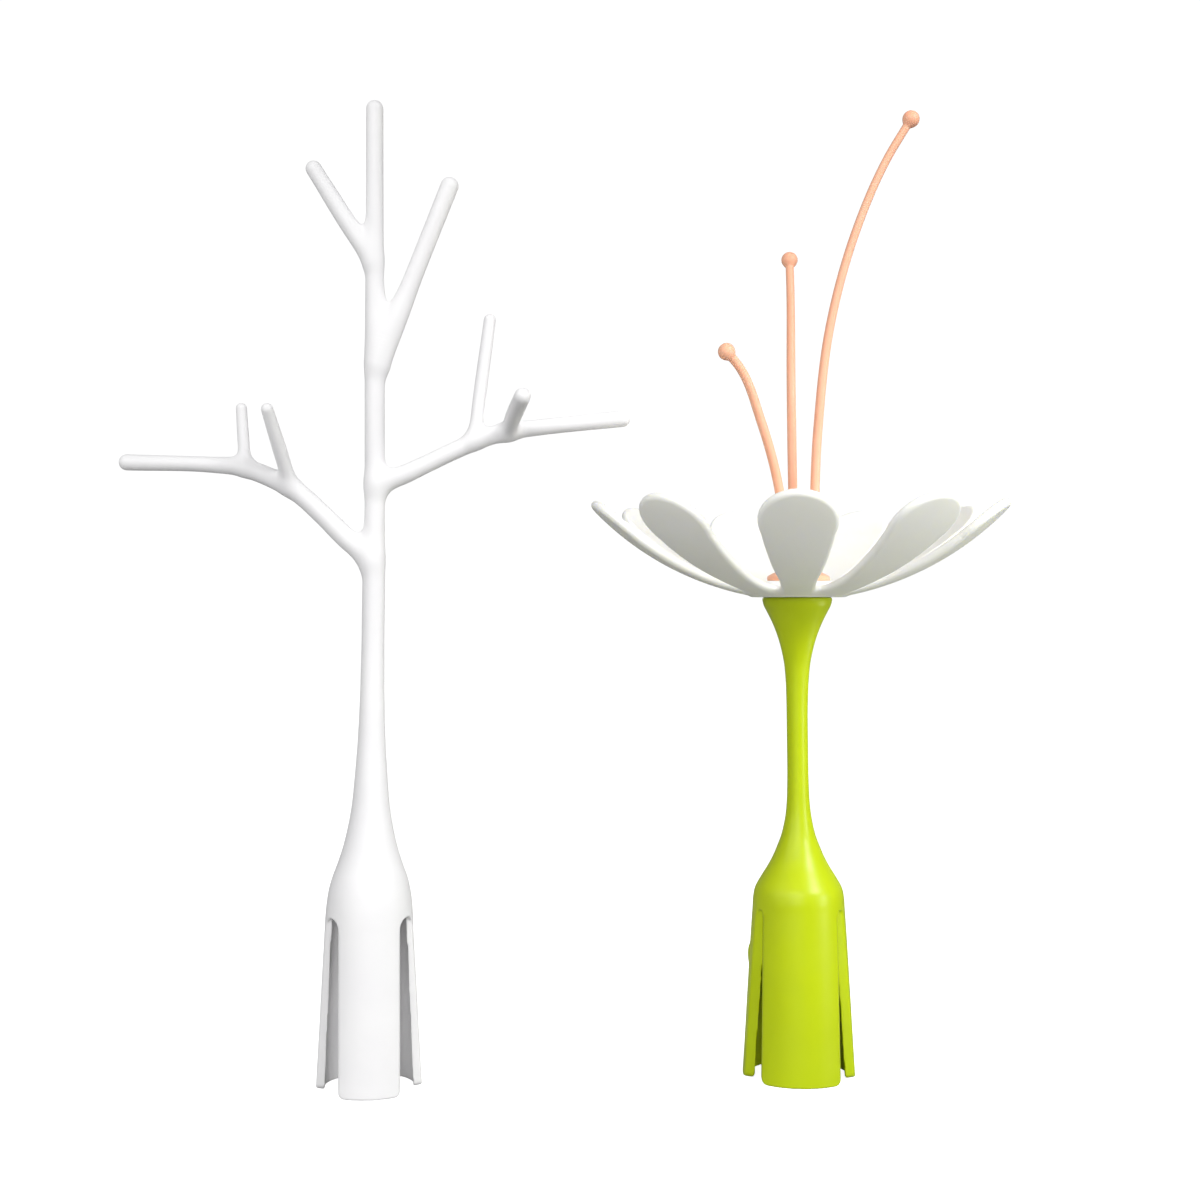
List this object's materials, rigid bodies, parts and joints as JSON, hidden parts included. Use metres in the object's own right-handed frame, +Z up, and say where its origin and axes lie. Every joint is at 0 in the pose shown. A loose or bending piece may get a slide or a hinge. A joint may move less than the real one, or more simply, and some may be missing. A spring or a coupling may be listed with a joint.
{
  "type": "bottle drying rack",
  "caption": "Two slotted-foot posts for drying feeding parts: a bare branching twig, and a flower whose petal dish carries flexible ball-tipped stamens.",
  "frame": {"origin": "bottom centre of the pair's bounding box, on the surface that both feet stand on", "axes": "+Z up along the posts, +X from the twig post towards the flower post and along the spread of the branches, +Y away from the viewer"},
  "size_m": [0.254, 0.1202, 0.2812],
  "materials": {
    "twig_white": "satin moulded white",
    "stem_green": "satin moulded lime green",
    "petal_white": "satin moulded white, soft to the touch",
    "stamen_coral": "satin flexible moulding, pale coral"
  },
  "bodies": {
    "twig_post": {"twig_shoulder": "twig_white", "twig_prong_front": "twig_white", "twig_prong_right": "twig_white", "twig_prong_left": "twig_white", "twig_trunk": "twig_white", "twig_leader": "twig_white", "twig_left_bough": "twig_white", "twig_right_bough": "twig_white", "twig_upper_left_branch": "twig_white", "twig_upper_right_branch": "twig_white", "twig_left_upright_twiglet": "twig_white", "twig_left_forward_twiglet": "twig_white", "twig_right_upright_twiglet": "twig_white", "twig_right_forward_twiglet": "twig_white"},
    "flower_stem": {"stem_shoulder": "stem_green", "stem_prong_front": "stem_green", "stem_prong_right": "stem_green", "stem_prong_left": "stem_green", "stem_neck": "stem_green", "stem_cup": "stem_green"},
    "petal_dish": {"petal_hub": "petal_white", "petal_1": "petal_white", "petal_2": "petal_white", "petal_3": "petal_white", "petal_4": "petal_white", "petal_5": "petal_white", "petal_6": "petal_white", "petal_7": "petal_white", "petal_8": "petal_white", "petal_9": "petal_white"},
    "stamen_cap": {"stamen_cap": "stamen_coral"},
    "stamen_short": {"stamen_short": "stamen_coral"},
    "stamen_middle": {"stamen_middle": "stamen_coral"},
    "stamen_tall": {"stamen_tall": "stamen_coral"}
  },
  "joints": [
    {"name": "flower_shift", "type": "slide", "parent": "twig_post", "child": "flower_stem", "axis": [1, 0, 0], "range_m": [0, 0.1]},
    {"name": "petals_lift", "type": "slide", "parent": "flower_stem", "child": "petal_dish", "axis": [0, 0, 1], "range_m": [0, 0.018]},
    {"name": "stamens_pull", "type": "slide", "parent": "petal_dish", "child": "stamen_cap", "axis": [0, 0, 1], "range_m": [0, 0.03]},
    {"name": "short_stamen_flex", "type": "hinge", "parent": "stamen_cap", "child": "stamen_short", "pos_m": [0.0645, -0.00192, 0.1462], "axis": [0.3784, -0.9256, 0], "range_deg": [-5, 20], "stiffness_Nm_per_rad": 0.03},
    {"name": "middle_stamen_flex", "type": "hinge", "parent": "stamen_cap", "child": "stamen_middle", "pos_m": [0.0671, 0.00468, 0.1462], "axis": [-0.9984, 0.056, 0], "range_deg": [-5, 20], "stiffness_Nm_per_rad": 0.03},
    {"name": "tall_stamen_flex", "type": "hinge", "parent": "stamen_cap", "child": "stamen_tall", "pos_m": [0.0724, -0.00012, 0.1462], "axis": [0.0424, 0.9991, 0], "range_deg": [-5, 20], "stiffness_Nm_per_rad": 0.03}
  ]
}
